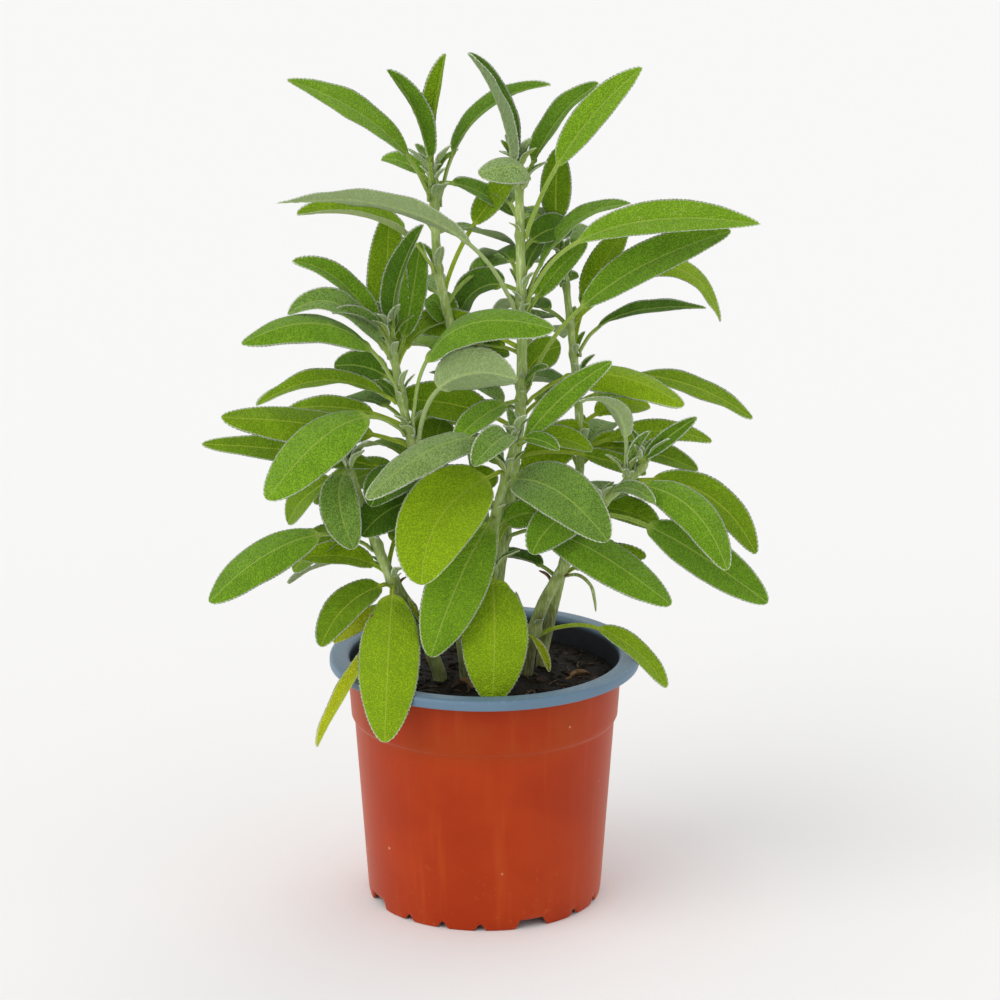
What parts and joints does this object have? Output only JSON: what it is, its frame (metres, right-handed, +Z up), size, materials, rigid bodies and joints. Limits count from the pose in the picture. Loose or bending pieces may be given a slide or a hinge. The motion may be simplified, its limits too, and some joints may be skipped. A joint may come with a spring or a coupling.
{
  "type": "potted common sage",
  "caption": "Bushy young sage plant with long grey-green leaves in a tapered round plastic nursery pot of dark compost",
  "frame": {"origin": "middle of the pot's foot, on the surface that it stands on", "axes": "+Z up along the pot's axis; the plant's best side looks along -Y; +X to its right"},
  "size_m": [0.214, 0.12, 0.332],
  "materials": {
    "pot": "satin terracotta plastic, grey-blue inside and on the rolled rim",
    "soil": "loose moist peat compost with fine bark and roots",
    "stem": "pale green woolly stem, brown and woody low down",
    "leaf": "felted, finely wrinkled grey-green leaf with a pale scalloped margin"
  },
  "bodies": {
    "root": {"front_stem": "stem", "front_stem_leaf_1": "leaf", "front_stem_leaf_2": "leaf", "front_stem_leaf_3": "leaf", "front_stem_leaf_4": "leaf", "front_stem_leaf_5": "leaf", "front_stem_leaf_6": "leaf", "left_stem": "stem", "left_stem_leaf_1": "leaf", "left_stem_leaf_10": "leaf", "left_stem_leaf_11": "leaf", "left_stem_leaf_12": "leaf", "left_stem_leaf_13": "leaf", "left_stem_leaf_2": "leaf", "left_stem_leaf_3": "leaf", "left_stem_leaf_4": "leaf", "left_stem_leaf_5": "leaf", "left_stem_leaf_6": "leaf", "left_stem_leaf_7": "leaf", "left_stem_leaf_8": "leaf", "left_stem_leaf_9": "leaf", "lower_left_stem": "stem", "lower_left_stem_leaf_1": "leaf", "lower_left_stem_leaf_2": "leaf", "lower_left_stem_leaf_3": "leaf", "lower_left_stem_leaf_4": "leaf", "lower_left_stem_leaf_5": "leaf", "lower_right_stem": "stem", "lower_right_stem_leaf_1": "leaf", "lower_right_stem_leaf_2": "leaf", "lower_right_stem_leaf_3": "leaf", "lower_right_stem_leaf_4": "leaf", "lower_right_stem_leaf_5": "leaf", "lower_right_stem_leaf_6": "leaf", "lower_right_stem_leaf_7": "leaf", "pot": "pot", "right_stem": "stem", "right_stem_leaf_1": "leaf", "right_stem_leaf_2": "leaf", "right_stem_leaf_3": "leaf", "right_stem_leaf_4": "leaf", "right_stem_leaf_5": "leaf", "soil": "soil", "tall_stem": "stem", "tall_stem_leaf_1": "leaf", "tall_stem_leaf_10": "leaf", "tall_stem_leaf_2": "leaf", "tall_stem_leaf_3": "leaf", "tall_stem_leaf_4": "leaf", "tall_stem_leaf_5": "leaf", "tall_stem_leaf_6": "leaf", "tall_stem_leaf_7": "leaf", "tall_stem_leaf_8": "leaf", "tall_stem_leaf_9": "leaf", "upper_left_stem": "stem", "upper_left_stem_leaf_1": "leaf", "upper_left_stem_leaf_2": "leaf", "upper_left_stem_leaf_3": "leaf", "upper_left_stem_leaf_4": "leaf", "upper_left_stem_leaf_5": "leaf"}
  },
  "joints": []
}
